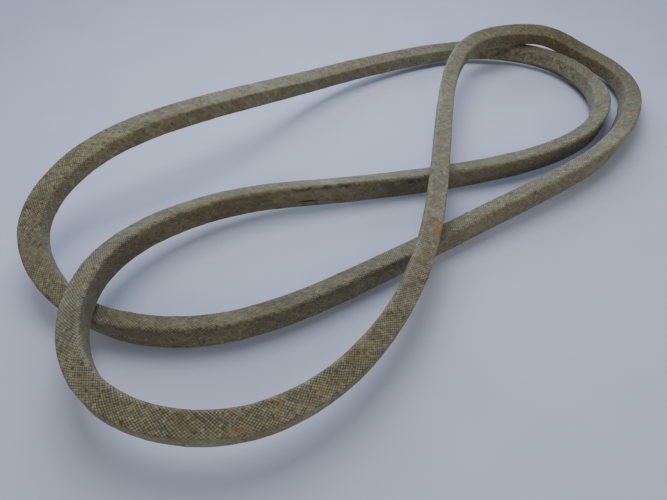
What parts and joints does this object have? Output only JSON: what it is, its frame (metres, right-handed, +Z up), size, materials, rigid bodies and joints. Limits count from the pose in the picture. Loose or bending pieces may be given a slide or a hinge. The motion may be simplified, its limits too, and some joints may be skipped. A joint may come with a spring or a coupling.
{
  "type": "v belt",
  "caption": "Endless fabric-wrapped V belt lying doubled over on itself, with cover plies, rubber cushions, adhesion gum and a wound tension cord.",
  "frame": {"origin": "centre of the belt's bounding box in plan, at the level of the surface it lies on", "axes": "+Z up from the surface, +X along the belt's longest extent, +Y away from the near bow"},
  "size_m": [0.293, 0.2656, 0.0374],
  "materials": {
    "outer_cover": "matte",
    "inner_cover": "matte",
    "rubber": "matte",
    "gum": "satin",
    "cord": "satin"
  },
  "bodies": {
    "root": {"outer_cover_ply": "outer_cover", "inner_cover_ply": "inner_cover", "overcord_rubber": "rubber", "upper_adhesion_gum": "gum", "tension_cord_turn_1": "cord", "tension_cord_turn_2": "cord", "tension_cord_turn_3": "cord", "tension_cord_turn_4": "cord", "tension_cord_turn_5": "cord", "tension_cord_turn_6": "cord", "lower_adhesion_gum": "gum", "undercord_rubber": "rubber"}
  },
  "joints": []
}
